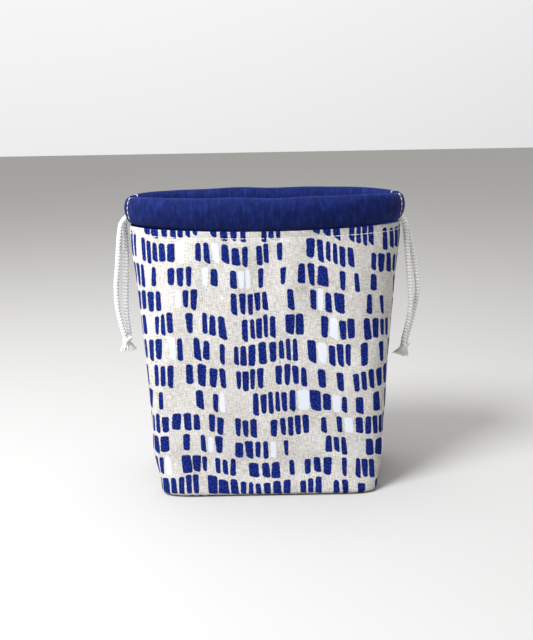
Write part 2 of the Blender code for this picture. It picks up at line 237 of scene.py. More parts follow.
def makePrintedCanvas():
    material, tree, place = clothMaterial("printedLinenCotton")
    parts = addNode(tree, "SeparateXYZ", None, {0: place})
    known = {"u": parts.outputs[0], "v": parts.outputs[1]}
    # the rows' drift and the strokes' rough edges, then slubs along both threads, flecks, wear and patches
    for name, *noise in (
        ("drift", (1 / 62, 1 / 95, 1), 1.0, 0.0),
        ("wobble", even, 0.55, 2.0),
        ("across", (0.16, 1.5, 1), 1.3, 2.0, 0.6),
        ("along", (1.5, 0.14, 1), 1.3, 2.0, 0.6),
        ("fleck", even, 1.7, 2.0, 0.6),
        ("speck", even, 0.85, 2.0, 0.7),
        ("broad", even, 0.045, 2.0),
    ):
        known[name] = clothNoise(tree, place, *noise)
    # which row a place is in, with the rows drifting up and down
    runSteps(tree, known, [
        ("driftSide", "-", "drift", 0.5),
        ("vRaised", "+", "v", printed["drop"]),
        ("rise", "*+", "driftSide", printed["rowDrift"], "vRaised"),
        ("slope", "*+", "u", 0.045, "rise"),
        ("rowPlace", "/", "slope", printed["rowPitch"]),
        ("row", "FLOOR", "rowPlace"),
        ("rowShare", "FRACT", "rowPlace"),
        ("rowCentred", "-", "rowShare", 0.5),
        ("y", "*", "rowCentred", printed["rowPitch"]),
        ("rowSeed", "*", "row", 3.71),
        ("uNear", "*", "u", 1 / 30),
    ])
    crowdAt = addNode(tree, "CombineXYZ", None, {0: known["uNear"], 1: known["rowSeed"]})
    known["crowd"] = clothNoise(tree, crowdAt, even, 1.0, 0.0)
    known["rowRandom"] = addNode(tree, "TexWhiteNoise", {"noise_dimensions": "1D"}, {"W": known["row"]})
    # which stroke of the row, crowded in some places and open in others
    runSteps(tree, known, [
        ("shifted", "*+", "rowRandom", 90.0, "u"),
        ("crowded", "*+", "crowd", printed["crowding"], "shifted"),
        ("columnPlace", "/", "crowded", printed["spacing"]),
        ("column", "FLOOR", "columnPlace"),
        ("columnShare", "FRACT", "columnPlace"),
        ("columnCentred", "-", "columnShare", 0.5),
        ("x", "*", "columnCentred", printed["spacing"]),
        ("groupPlace", "*", "column", 0.71),
        ("groupRow", "*", "row", 5.31),
    ])
    cell = addNode(tree, "CombineXYZ", None, {0: known["column"], 1: known["row"]})
    group = addNode(tree, "CombineXYZ", None, {0: known["groupPlace"], 1: known["groupRow"]})
    known["grouped"] = clothNoise(tree, group, even, 1.0, 0.0)
    for k, letter in enumerate("abc"):
        moved = addNode(tree, "VectorMath", {"operation": "ADD"}, {0: cell, 1: (17.3 * k, 41.9 * k, 0)})
        chance = addNode(tree, "TexWhiteNoise", flat, {"Vector": moved})
        split = addNode(tree, "SeparateColor", None, {0: chance.outputs["Color"]})
        for digit, socket in zip("123", split.outputs):
            known[letter + digit] = socket
    # the stroke itself: a rounded bar that leans, tapers and ends on a slant
    runSteps(tree, known, [
        ("wide", ">", "b1", 0.86),
        ("widthMore", "*+", "a1", 0.5, printed["halfWidth"]),
        ("halfWidth", "*+", "wide", 0.55, "widthMore"),
        ("halfHeight", "*+", "a2", 1.45, printed["halfHeight"]),
        ("offCentre", "*+", "a3", 1.5, -0.75),
        ("yMoved", "-", "y", "offCentre"),
        ("lean", "*+", "b2", 0.12, -0.085),
        ("leaning", "*", "yMoved", "lean"),
        ("xLean", "-", "x", "leaning"),
        ("heightShare", "/", "yMoved", "halfHeight"),
        ("nearFoot", "MINIMUM", "heightShare", 0.0),
        ("slant", "*+", "b3", 0.62, -0.12),
        ("slantHere", "*", "slant", "nearFoot"),
        ("slanting", "*", "xLean", "slantHere"),
        ("ySlant", "-", "yMoved", "slanting"),
        ("taper", "*+", "c3", 0.36, -0.20),
        ("tapering", "*", "heightShare", "taper"),
        ("taperOne", "-", 1.0, "tapering"),
        ("widthHere", "*", "halfWidth", "taperOne"),
        ("xAway", "ABSOLUTE", "xLean"),
        ("yAway", "ABSOLUTE", "ySlant"),
        ("xInner", "-", "xAway", "widthHere"),
        ("yInner", "-", "yAway", "halfHeight"),
        ("xOver", "+", "xInner", printed["cornerRadius"]),
        ("yOver", "+", "yInner", printed["cornerRadius"]),
        ("xOut", "MAXIMUM", "xOver", 0.0),
        ("yOut", "MAXIMUM", "yOver", 0.0),
        ("xSquared", "*", "xOut", "xOut"),
        ("squares", "*+", "yOut", "yOut", "xSquared"),
        ("outside", "SQRT", "squares"),
        ("larger", "MAXIMUM", "xOver", "yOver"),
        ("inside", "MINIMUM", "larger", 0.0),
        ("distance", "+", "outside", "inside"),
        ("wobbleSide", "-", "wobble", 0.5),
        ("rough", "*+", "wobbleSide", printed["edgeWobble"] * 2, "distance"),
        ("fromEdge", "-", printed["cornerRadius"], "rough"),
        ("edge", "*+", "fromEdge", 3.2, 0.5),
        ("stroke", "MINIMUM", "edge", 1.0),
        ("strokeShape", "MAXIMUM", "stroke", 0.0),
        ("inGroup", ">", "grouped", printed["gapShare"]),
        ("kept", ">", "c1", printed["missingShare"]),
        ("present", "*", "inGroup", "kept"),
        ("isWhite", "<", "c2", printed["whiteShare"]),
        ("ink", "*", "strokeShape", "present"),
    ])
    # the ground cloth, and the ink worn off its high threads
    turnsPerThread = 2 * math.pi / printed["threadSpacing"]
    runSteps(tree, known, [
        ("slubs", "+", "across", "along"),
        ("mixed", "*+", "fleck", 1.1, "slubs"),
        ("mixedBroad", "*+", "broad", 0.35, "mixed"),
        ("tone", "*+", "mixedBroad", 1.08, -1.36),
        ("uTurn", "*", "u", turnsPerThread),
        ("vTurn", "*", "v", turnsPerThread),
        ("uWave", "SINE", "uTurn"),
        ("vWave", "SINE", "vTurn"),
        ("weave", "*", "uWave", "vWave"),
        ("weaveTone", "*+", "weave", 0.07, "tone"),
        ("worn", "*+", "weave", 0.16, "speck"),
        ("wornTone", "*+", "worn", 5.0, -2.3),
        ("height", "*+", "weave", 0.5, "slubs"),
        ("inkFlat", "*+", "ink", 0.12, "height"),
    ])
    linens = [(0.0, printed["linenDark"]), (0.5, printed["linen"]), (1.0, printed["linenLight"])]
    ground = addRamp(tree, known["weaveTone"], linens)
    ink = addRamp(tree, known["wornTone"], [(0.1, printed["blue"]), (1.0, printed["blueWorn"])])
    inks = {0: known["isWhite"], 1: ink, 2: hexColour(printed["white"])}
    strokes = {0: known["ink"], 1: ground, 2: addNode(tree, "MixRGB", None, inks)}
    colour = addNode(tree, "MixRGB", None, strokes)
    values = {"Roughness": 0.92, "IOR": 1.5, "Specular IOR Level": 0.07}
    finishSurface(tree, colour, known["inkFlat"], printed["bumpDepth"], 0.9, values)
    return material


# Plain-weave quilting cotton, dyed navy: matt, faintly mottled, with a soft bloom of fibre at a grazing angle
navy = {
    "colour": "#111b50",
    "dark": "#0a113c",
    "light": "#1e3076",
    "sheen": 0.1,
    "threadSpacing": 0.7,  # 0.35 in the cloth, drawn coarser so that it shows
    "bumpDepth": 0.00012,
}


def makeNavyCotton():
    material, tree, place = clothMaterial("navyPlainWeaveCotton")
    turning = {0: place, "Scale": 2 * math.pi / navy["threadSpacing"]}
    turns = addNode(tree, "VectorMath", {"operation": "SCALE"}, turning)
    waves = addNode(tree, "VectorMath", {"operation": "SINE"}, {0: turns})
    parts = addNode(tree, "SeparateXYZ", None, {0: waves})
    streaks = clothNoise(tree, place, (0.5, 0.2, 1), 1.0, 3.0)
    mottle = clothNoise(tree, place, even, 0.16, 4.0, 0.65)
    known = {"uWave": parts.outputs[0], "vWave": parts.outputs[1], "streaks": streaks, "mottle": mottle}
    runSteps(tree, known, [
        ("weave", "*", "uWave", "vWave"),
        ("both", "+", "streaks", "mottle"),
        ("tone", "*+", "both", 0.95, -0.45),
        ("fine", "*+", "weave", 0.12, "tone"),
        ("height", "*+", "streaks", 1.4, "weave"),
    ])
    colour = addRamp(tree, known["fine"], [(0.0, navy["dark"]), (0.5, navy["colour"]), (1.0, navy["light"])])
    finishSurface(tree, colour, known["height"], navy["bumpDepth"], 0.8, {
        "Roughness": 0.58,
        "IOR": 1.5,
        "Specular IOR Level": 0.2,
        "Specular Tint": hexColour("#8fadff"),
        "Sheen Weight": navy["sheen"],
        "Sheen Roughness": 0.35,
        "Sheen Tint": hexColour("#5f7ff0"),
    })
    return material


def makeBraidedCord(light, dark, paintedCreviceShade):
    # braided cotton: soft natural white strands that cross each other, with painted shade where they go under
    material, tree, place = clothMaterial("braidedCottonCord")
    parts = addNode(tree, "SeparateXYZ", None, {0: place})
    fibres = clothNoise(tree, place, (1, 0.4, 1), 2.2, 3.0)
    known = {"round": parts.outputs[0], "along": parts.outputs[1], "fibres": fibres}
    runSteps(tree, known, [
        ("turn", "*", "round", cordColumns / cordUnroll),
        ("column", "SINE", "turn"),
        ("leaning", "ARCSINE", "column"),
        ("phase", "*+", "along", 2 * math.pi / cordPlait, "leaning"),
        ("high", "COSINE", "phase"),
        ("raised", "*+", "high", 0.5, 0.3),
        ("tone", "*+", "fibres", 0.5, "raised"),
    ])
    # the ramp paints shade into the braid's low crossings, following the relief, and runs to plain white on
    # its high strands
    colour = addRamp(tree, known["tone"], [(0.0, paintedCreviceShade), (0.35, dark), (0.8, light)])
    values = {"Roughness": 0.9, "IOR": 1.5, "Specular IOR Level": 0.3, "Sheen Weight": 0.3}
    finishSurface(tree, colour, fibres, 0.00012, 0.8, values)
    return material


def makeFibreMaterial(name, light, dark, scale, stretch, roughness, sheen, depth):
    # pale cloth or thread whose fibres show as fine streaks
    material, tree, place = clothMaterial(name)
    fibres = clothNoise(tree, place, stretch, scale, 3.0)
    colour = addRamp(tree, fibres, [(0.3, dark), (0.7, light)])
    values = {"Roughness": roughness, "IOR": 1.5, "Specular IOR Level": 0.3, "Sheen Weight": sheen}
    finishSurface(tree, colour, fibres, depth, 0.8, values)
    return material


cordPlait = 2.3  # millimetres, length of one crossing of the braid
cordColumns = 4  # rows of crossings round the cord
cordUnroll = 1.8  # millimetres of UV map to a radian round the cord
materials = {
    "canvas": makePrintedCanvas(),
    "navy": makeNavyCotton(),
    # felted stiffener: off-white, dull and hairy
    "interlining": makeFibreMaterial("feltedInterlining", "#e2dfd6", "#c9c5ba", 0.9, even, 0.95, 0.2, 0.0002),
    # spun polyester thread: bright white with a slight gloss
    "thread": makeFibreMaterial("whitePolyesterThread", "#f7f6f2", "#dcdad4", 3.0, even, 0.6, 0.0, 0.00005),
    # the cord's last colour is painted shade for the braid's crevices
    "cord": makeBraidedCord("#ffffff", "#f3f0ea", "#ada695"),
    # the cord's cut ends, teased out: the same cotton without the braid
    "fibre": makeFibreMaterial("looseCottonFibre", "#f8f6f2", "#ddd8cd", 1.6, (1, 0.35, 1), 0.9, 0.3, 0.0001),
}


def newMesh(name, points, faces):
    mesh = bpy.data.meshes.new(name)
    mesh.from_pydata([tuple(p) for p in points], [], [tuple(f) for f in faces])
    return mesh


def addMesh(name, points, faces, uvs, material, normals=None):
    # a mesh object, with the cloth's flat measure in metres as its UV map
    mesh = newMesh(name, points, faces)
    layer = mesh.uv_layers.new(name="cloth")
    corners = np.empty(len(mesh.loops), dtype=np.int32)
    mesh.loops.foreach_get("vertex_index", corners)
    layer.data.foreach_set("uv", np.asarray(uvs, dtype=np.float32)[corners].ravel())
    mesh.materials.append(material)
    mesh.shade_smooth()
    if normals is not None:
        mesh.normals_split_custom_set_from_vertices([tuple(n) for n in normals])
    return newObject(name, mesh)


def curveAt(points, k, share):
    # a place on the Catmull-Rom curve between point k and the next
    before, start, end, after = (points[min(max(k + n, 0), len(points) - 1)] for n in (-1, 0, 1, 2))
    squared, cubed = share**2, share**3
    return (
        start * (2 * cubed - 3 * squared + 1)
        + (end - before) * 0.5 * (cubed - 2 * squared + share)
        + end * (3 * squared - 2 * cubed)
        + (after - start) * 0.5 * (cubed - squared)
    )


def distances(line):
    # how far along a line each of its points lies
    return np.concatenate([[0], np.cumsum(np.linalg.norm(np.diff(line, axis=0), axis=1))])


def gridFaces(rows, columns, closed=True):
    # the faces of a grid of points; where it is closed, its last column meets its first
    faces = []
    for row in range(rows - 1):
        for k in range(columns if closed else columns - 1):
            here, there = row * columns + k, row * columns + (k + 1) % columns
            faces.append((here, there, there + columns, here + columns))
    return faces


def joined(pieces):
    # several sets of points, faces and UVs as one
    points, faces, uvs = [], [], []
    for morePoints, moreFaces, moreUvs in pieces:
        base = len(points)
        points += list(morePoints)
        faces += [tuple(base + n for n in f) for f in moreFaces]
        uvs += list(moreUvs)
    return points, faces, uvs


def vertexNormals(points, faces):
    mesh = newMesh("normals", points, faces)
    found = np.array([tuple(v.vector) for v in mesh.vertex_normals])
    bpy.data.meshes.remove(mesh)
    return found


def followMouth(obj, half, side):
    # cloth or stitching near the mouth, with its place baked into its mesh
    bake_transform(obj)


def addQuarters(name, points, faces, uvs, material, half, node, slot):
    # one half of the bag as a left and a right piece, which share their normals along the middle
    points, uvs = np.asarray(points), np.asarray(uvs)
    normals = vertexNormals(points, faces)
    for word, side in sides:
        kept = [f for f in faces if side * sum(points[k][0] for k in f) > 0]
        used = sorted({k for f in kept for k in f})
        place = {k: n for n, k in enumerate(used)}
        kept = [[place[k] for k in f] for f in kept]
        quarter = addMesh(f"{name}_{half}_{word}", points[used], kept, uvs[used], material, normals[used])
        followMouth(quarter, half, side)
        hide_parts(node)


print("drawstrings")

# The two drawstrings: soft braided cotton cord, knotted at its ends
drawstring = {
    "diameter": 3.5 * mm,
    "plait": cordPlait * mm,
    "ridge": 0.22,  # height of the braid's strands, as a share of the radius
    "spacing": 0.4 * mm,
    "hidden": 2.8 * mm,  # how much of a strand lies in its casing's end
    "tuck": 1.3 * mm,  # how far in the lower part of a casing lies, sewn to the middle of the layers below
    "tuckTop": 198 * mm,
    "tuckHeight": 13.5 * mm,
    "topLength": 13.6 * mm,  # the hidden part and the stretch below it, made as a strand of its own
    "endY": 3.7 * mm,
    # its weight draws the first points of its route in and down
    "droop": [(1.3 * mm, 1.5 * mm), (1.3 * mm, 2.3 * mm), (0.5 * mm, 1.6 * mm)],
    "runShare": 0.8,  # of its radius where the casing squeezes it
    "knotWrap": 2.0 * mm,
    "knotHeight": 4.2 * mm,
    "knotTurns": 2.2,
    "fibres": 26,
    "fibreLength": 6.8 * mm,
}
cordRadius = drawstring["diameter"] / 2
mouthHalfWidth = panelHigh[0]
casingThickness = 6.4 * mm
casingEndY = 5 * mm  # how far from the side seam a casing ends
mouthHalfDepth = -rimLow[1] - casingThickness / 2
cordZ = {word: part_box(f"{word}_cord_bridge")[0][2] + cordRadius for word, side in sides}

# Routes from the casing's end to the knot, as x, y and z
routes = {
    "left_front": [
        (-0.0950, -0.0024, 0.1929), (-0.0980, -0.0021, 0.1912), (-0.0998, -0.0021, 0.1860),
        (-0.1010, -0.0022, 0.1740), (-0.1027, -0.0024, 0.1590), (-0.1048, -0.0026, 0.1413),
        (-0.1044, -0.0025, 0.1246), (-0.1011, -0.0021, 0.1073),
    ],
    "left_back": [
        (-0.0948, 0.0024, 0.1929), (-0.0971, 0.0021, 0.1912), (-0.0979, 0.0021, 0.1860),
        (-0.0970, 0.0021, 0.1770), (-0.0975, 0.0024, 0.1600), (-0.0988, 0.0026, 0.1412),
        (-0.0996, 0.0025, 0.1231), (-0.0985, 0.0021, 0.1073),
    ],
    "right_front": [
        (0.0950, -0.0024, 0.1889), (0.0968, -0.0021, 0.1870), (0.0973, -0.0021, 0.1810),
        (0.0976, -0.0022, 0.1720), (0.0996, -0.0024, 0.1531), (0.1014, -0.0026, 0.1344),
        (0.1010, -0.0025, 0.1180), (0.0974, -0.0021, 0.1004),
    ],
    "right_back": [
        (0.0952, 0.0024, 0.1889), (0.0977, 0.0021, 0.1870), (0.0993, 0.0021, 0.1810),
        (0.1008, 0.0022, 0.1720), (0.1050, 0.0025, 0.1530), (0.1070, 0.0026, 0.1357),
        (0.1048, 0.0025, 0.1200), (0.1000, 0.0021, 0.1004),
    ],
}
knots = {"left": Vector((-0.0997, 0.0, 0.1030)), "right": Vector((0.0987, 0.0, 0.0961))}
# which way each frayed end leans from straight down
frays = {
    "left_front": (-0.35, -0.15),
    "left_back": (0.45, 0.15),
    "right_front": (-0.90, -0.15),
    "right_back": (-0.08, 0.15),
}


def evenLine(points, spacing):
    travelled = distances(points)
    count = max(int(round(travelled[-1] / spacing)), 2)
    wanted = np.linspace(0, travelled[-1], count + 1)
    return np.stack([np.interp(wanted, travelled, points[:, k]) for k in range(3)], axis=1)


def smoothLine(points, spacing):
    # evenly spaced points along a smooth curve through the given ones
    points = np.array([tuple(p) for p in points], dtype=float)
    shares = np.linspace(0, 1, 24, endpoint=False)
    fine = [curveAt(points, k, share) for k in range(len(points) - 1) for share in shares]
    return evenLine(np.array(fine + [points[-1]]), spacing)


def sideways(points):
    # two directions across a line at each of its points, carried along without twisting
    tangents = np.gradient(points, axis=0)
    tangents /= np.linalg.norm(tangents, axis=1)[:, None]
    across = np.cross(tangents[0], (0, 1, 0))
    if np.linalg.norm(across) < 0.2:
        across = np.cross(tangents[0], (1, 0, 0))
    found = []
    for tangent in tangents:
        across = across - tangent * np.dot(across, tangent)
        across /= np.linalg.norm(across)
        found.append((across.copy(), np.cross(tangent, across)))
    return found


def tube(points, radiusAt, around, startTravel=0.0):
    # points, faces and UVs of a closed tube; radiusAt takes the distance along it and the angles round it
    points = np.asarray(points)
    turns = np.linspace(-math.pi / 2, 1.5 * math.pi, around, endpoint=False)
    rings, uvs = [], []
    for centre, (across, other), travelled in zip(points, sideways(points), distances(points) + startTravel):
        for turn, radius in zip(turns, radiusAt(travelled, turns) + 0 * turns):
            rings.append(centre + radius * (math.cos(turn) * across + math.sin(turn) * other))
            uvs.append((turn * cordUnroll * mm, travelled))
    faces = gridFaces(len(points), around)
    for first, centre, flip in ((0, points[0], True), ((len(points) - 1) * around, points[-1], False)):
        middle = len(rings)
        rings.append(centre)
        uvs.append((0, 0))
        for k in range(around):
            pair = (first + k, first + (k + 1) % around)
            faces.append((pair[1], pair[0], middle) if flip else (*pair, middle))
    return rings, faces, uvs


def addBraid(name, points, radius, travelled=0.0, around=24):
    # strands that lean one way and the other by turns, in columns round the cord
    def radiusAt(travelled, turns):
        leaning = np.arcsin(np.sin(cordColumns * turns))
        high = np.cos(2 * math.pi * travelled / drawstring["plait"] + leaning)
        return radius * (1 + drawstring["ridge"] * (0.5 * high - 0.1))

    made = addMesh(name, *tube(points, radiusAt, around, travelled), materials["cord"])
    return made


def tuckIn(z):
    share = (drawstring["tuckTop"] - z) / drawstring["tuckHeight"]
    return drawstring["tuck"] * min(max(share, 0.0), 1.0)


def mouthPoint(side, y, z):
    # a point on the middle line of the casings, carried on across the side seam
    wide, deep = mouthHalfWidth - tuckIn(z), mouthHalfDepth - tuckIn(z)
    return np.array((side * wide * math.sqrt(1 - (y / deep) ** 2), y, z))


def addKnot(word, centre):
    # an overhand knot, drawn up tight: the cord wraps twice round its own strands
    share = np.linspace(0, 1, 160)
    turns = 2 * math.pi * drawstring["knotTurns"] * share + 0.6
    wide = drawstring["knotWrap"] * np.sin(math.pi * share) ** 0.55
    down = (0.5 - share) * drawstring["knotHeight"] + 0.55 * wide * np.sin(turns)
    line = np.stack([wide * np.sin(turns), -wide * np.cos(turns), down], axis=1)
    line = evenLine(line + np.array(centre), 0.35 * mm)
    knot = addBraid(f"{word}_overhand_knot", line, 1.7 * mm, around=20)
    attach(knot, f"{word}_cord_end")
    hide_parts(f"{word}_knot")
    return knot


def addFray(word, half, centre, lean):
    # loose fibres that fan out below the knot, round a core
    seeded = random.Random(f"{word}{half}")
    down = Vector((*lean, -1.0)).normalized()
    start = Vector(centre) + down * 2.4 * mm
    length = 0.62 * drawstring["fibreLength"]
    core = [tuple(start + down * length * s) for s in np.linspace(0, 1, 9)]

    def coreRadius(travelled, turns):
        return (1.1 + 0.7 * travelled / length) * mm * (1 + 0.13 * np.cos(7 * turns + lean[0]))

    pieces = [tube(core, coreRadius, 28)]
    for k in range(drawstring["fibres"]):
        turn, out = k * 2.4, math.sqrt((k + 0.5) / drawstring["fibres"])
        spread = Vector((math.cos(turn), math.sin(turn), 0))
        root = start + spread * out * 1.3 * mm
        aside = Vector((seeded.uniform(-0.09, 0.09), seeded.uniform(-0.09, 0.09), 0))
        aim = down + spread * out * 0.32 + aside
        reach = drawstring["fibreLength"] * seeded.uniform(0.75, 1.0)
        curl = Vector((seeded.uniform(-1, 1), seeded.uniform(-1, 1), 0)) * 0.7 * mm
        line = [tuple(root + aim * reach * s + curl * math.sin(2.6 * s) * s) for s in np.linspace(0, 1, 8)]
        thick = seeded.uniform(0.42, 0.62) * mm
        pieces.append(tube(line, lambda travelled, turns: thick * (1 - 0.45 * (travelled / reach) ** 2), 6))
    end = addMesh(f"{word}_frayed_end_{half}", *joined(pieces), materials["fibre"])
    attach(end, f"{word}_cord_end")
    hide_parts(f"{word}_cord_{half}_end")
    return end


def addTail(word, side, z):
    # the two hanging strands of one drawstring, its knot and its frayed ends
    knot = addKnot(word, knots[word])
    spacing, topLength = drawstring["spacing"], drawstring["topLength"]
    for half, ySide in halves:
        fray = addFray(word, half, knots[word], frays[f"{word}_{half}"])
        exitPoint = mouthPoint(side, ySide * drawstring["endY"], z)
        inside = mouthPoint(side, ySide * (drawstring["endY"] + drawstring["hidden"]), z)
        route = [np.array(place) for place in routes[f"{word}_{half}"]]
        intoKnot = route[-1] * 0.45 + np.array(knots[word]) * 0.55
        for place, (inward, drop) in zip(route, drawstring["droop"]):
            place -= (side * inward, 0, drop)
        line = smoothLine([inside, exitPoint] + route + [intoKnot], spacing)
        split = int(round(topLength / spacing))
        top = addBraid(f"{word}_strand_top_{half}", line[: split + 1], cordRadius)
        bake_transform(top)
        strand = addBraid(f"{word}_strand_{half}", line[split:], cordRadius, topLength)
        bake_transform(strand)
        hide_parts(f"{word}_cord_{half}_strand")
        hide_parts(f"{word}_cord_{half}_strand")
        float(distances(line[split:])[-1])


def addRuns(word, side, z):
    # the drawstring inside both casings, and where it crosses the far side seam
    for half, ySide in halves:
        turns = np.linspace(math.asin(casingEndY / mouthHalfDepth), math.pi / 2, 60)
        quarter = np.stack([
            (mouthHalfWidth - tuckIn(z)) * np.cos(turns),
            ySide * (mouthHalfDepth - tuckIn(z)) * np.sin(turns),
            np.full(len(turns), z),
        ], axis=1)
        for end, xSide in sides:
            line = evenLine(quarter * np.array((xSide, 1, 1)), 1.0 * mm)
            run = addBraid(f"{word}_run_{half}_{end}", line, cordRadius * drawstring["runShare"], around=12)
            followMouth(run, half, xSide)
            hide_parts(f"{word}_cord_{half}_run")
    reach = drawstring["endY"] + 1 * mm
    line = np.array([mouthPoint(-side, y, z) for y in np.linspace(-reach, reach, 19)])
    bridge = addBraid(f"{word}_bridge", line, cordRadius)
    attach(bridge, "bag")
    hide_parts(f"{word}_cord_bridge")


for word, side in sides:
    addTail(word, side, cordZ[word])
    addRuns(word, side, cordZ[word])

print("bag body")

# The body's outer face: share of height, share of half width and of half depth from base to mouth, squareness
body = {
    "profile": [
        (0.00, 0.00, 0.00, 9.0),
        (0.16, 0.19, 0.11, 6.5),
        (0.32, 0.33, 0.28, 5.0),
        (0.53, 0.50, 0.45, 3.6),
        (0.80, 0.78, 0.74, 2.6),
        (1.00, 1.00, 1.00, 2.15),
    ],
    "baseHalfWidth": 76.6 * mm,
    "baseHalfDepth": -panelLow[1],
    "edgeRadius": 2.9 * mm,
    "height": panelHigh[2],
    "arch": 0.7 * mm,  # how far the base's middle stands off the floor
    "edgeArch": 0.5 * mm,
    "archReach": 62 * mm,
    "columns": 192,  # round the bag
    "seamGap": 0.45 * mm,
    "seamDip": 0.35 * mm,
    "stitchDip": 0.35 * mm,
    "stitchDrop": 4.5 * mm,
    "halfCloth": 112 * mm,  # width of the flat cloth from the middle of a panel to its side seam
    "ripples": [(0.075, 0.7 * mm, 3), (0.034, 0.28 * mm, 5)],  # length, strength and seed
    "pressing": 0.5,  # how far the layers are pressed together where the casing is sewn on
    "slack": 0.018,  # how much larger the cloth is cut than the shape it is sewn to
    "mostSag": 2.6 * mm,
    "simRows": 38,
    "simFrames": 24,
    "seamHold": 0.35,  # how firmly the side seams stay in place
    "canvas": {  # how the cloth simulation sees it
        "quality": 6,
        "mass": 0.25,
        "tension_stiffness": 25,
        "compression_stiffness": 25,
        "shear_stiffness": 12,
        "bending_stiffness": 9,
    },
}
layers = {  # depth of each layer's outer face and its thickness
    "outer": (0.0, 0.9 * mm, "canvas", "canvas"),
    "interlining": (1.2 * mm, 0.8 * mm, "interlining", "interlining"),
    "lining": (2.3 * mm, 0.6 * mm, "navy", "navy_cotton"),
}


def profileAt(z):
    height = min(max(z / body["height"], 0.0), 1.0)
    rows = np.array(body["profile"])
    k = min(int(np.searchsorted(rows[:, 0], height, side="right")) - 1, len(rows) - 2)
    mixed = curveAt(rows, k, (height - rows[k, 0]) / (rows[k + 1, 0] - rows[k, 0]))
    halfWidth = body["baseHalfWidth"] + mixed[1] * (mouthHalfWidth - body["baseHalfWidth"])
    halfDepth = body["baseHalfDepth"] + mixed[2] * (mouthHalfDepth - body["baseHalfDepth"])
    return halfWidth, halfDepth, mixed[3]


def outline(z, inset, columns):
    # evenly spaced points round the bag, from the left seam by way of the front
    halfWidth, halfDepth, squareness = profileAt(z)
    turns = np.linspace(0, math.pi / 2, 500)
    x = (halfWidth - inset) * np.cos(turns) ** (2 / squareness)
    y = (halfDepth - inset) * np.sin(turns) ** (2 / squareness)
    x[-1], y[0] = 0.0, 0.0
    travelled = distances(np.column_stack([x, y]))
    wanted = np.linspace(0, travelled[-1], columns // 4 + 1)
    quarter = np.stack([np.interp(wanted, travelled, x), np.interp(wanted, travelled, y)], axis=1)
    back = quarter[::-1]
    turned = (quarter * (-1, -1), back * (1, -1), quarter, back * (-1, 1))
    return np.concatenate([part[:-1] for part in turned])


def mouthLift(x):
    # how far the lower edge of the casings rises towards the side seams
    return 1.7 * mm * np.clip(np.abs(x) / mouthHalfWidth, 0, 1) ** 2


def baseArch(x, most):
    return most * np.clip(1 - (x / body["archReach"]) ** 2, 0, 1)


def atHeight(ring, z):
    # points of the plane, at one height or a height each
    return np.column_stack([ring, z + 0 * ring[:, 0]])


def wallGrid(heights, columns):
    return np.array([atHeight(outline(z, 0.0, columns), z) for z in heights])


def gridNormals(grid):
    # outward normals of a grid that closes round
    wrapped = np.concatenate([grid[:, -1:], grid, grid[:, :1]], axis=1)
    normals = np.cross(wrapped[:, 2:] - wrapped[:, :-2], np.gradient(grid, axis=0))
    return normals / np.linalg.norm(normals, axis=2)[:, :, None]


def smoothRows(grid):
    # each row but the first and the last drawn towards its neighbours
    grid[1:-1] = (grid[:-2] + 2 * grid[1:-1] + grid[2:]) / 4


def sagField(columns, heights):
    # a short cloth simulation of the canvas, sewn in at its top and its base: how far each point moves
    coarse = columns // 2
    rows = np.linspace(body["edgeRadius"], body["height"], body["simRows"])
    points = wallGrid(rows, coarse).reshape(-1, 3)
    mesh = newMesh("sagging", points, gridFaces(len(rows), coarse))
    cloth = newObject("sagging", mesh)
    held = cloth.vertex_groups.new(name="held")
    held.add(list(range(2 * coarse)), 1.0, "REPLACE")
    held.add(list(range(len(points) - 2 * coarse, len(points))), 1.0, "REPLACE")
    seams = [row * coarse + k for row in range(len(rows)) for k in (0, coarse // 2)]
    held.add(seams, body["seamHold"], "REPLACE")
    modifier = cloth.modifiers.new("cloth", "CLOTH")
    for key, value in body["canvas"].items():
        setattr(modifier.settings, key, value)
    modifier.settings.vertex_group_mass = "held"
    modifier.settings.shrink_min = -body["slack"]
    modifier.point_cache.frame_start = 1
    modifier.point_cache.frame_end = body["simFrames"]
    for number in range(1, body["simFrames"] + 1):
        scene.frame_set(number)
    settled = cloth.evaluated_get(bpy.context.evaluated_depsgraph_get()).to_mesh()
    places = np.empty(len(settled.vertices) * 3, dtype=np.float32)
    settled.vertices.foreach_get("co", places)
    moved = (places.reshape(-1, 3) - points).reshape(len(rows), coarse, 3)
    bpy.data.objects.remove(cloth)
    bpy.data.meshes.remove(mesh)
    scene.frame_set(1)
    reach = np.linalg.norm(moved, axis=2)
    print(f"cloth moved at most {1000 * reach.max():.1f} mm")
    moved *= np.minimum(1.0, body["mostSag"] / np.maximum(reach, 1e-9))[:, :, None]
    for _ in range(2):
        moved = (np.roll(moved, 1, axis=1) + 2 * moved + np.roll(moved, -1, axis=1)) / 4
        smoothRows(moved)
    moved[0] = moved[-1] = 0
    fine = np.repeat(moved, 2, axis=1)
    fine[:, 1::2] = (moved + np.roll(moved, -1, axis=1)) / 2
    result = np.empty((len(heights), columns, 3))
    for k, axis in np.ndindex(columns, 3):
        result[:, k, axis] = np.interp(heights, rows, fine[:, k, axis])
    for _ in range(2):
        smoothRows(result)
    return result


def smallNoise(u, v, waves):
    # a gentle sum of seeded waves, for wrinkles that a short simulation doesn't make
    total = np.zeros_like(u)
    for size, strength, seed in waves:
        seeded = random.Random(seed)
        for _ in range(4):
            turn = seeded.uniform(0, math.pi)
            place = (u * math.cos(turn) + v * math.sin(turn)) / size
            total += strength / 4 * np.sin(2 * math.pi * place + seeded.uniform(0, 6.28))
    return total


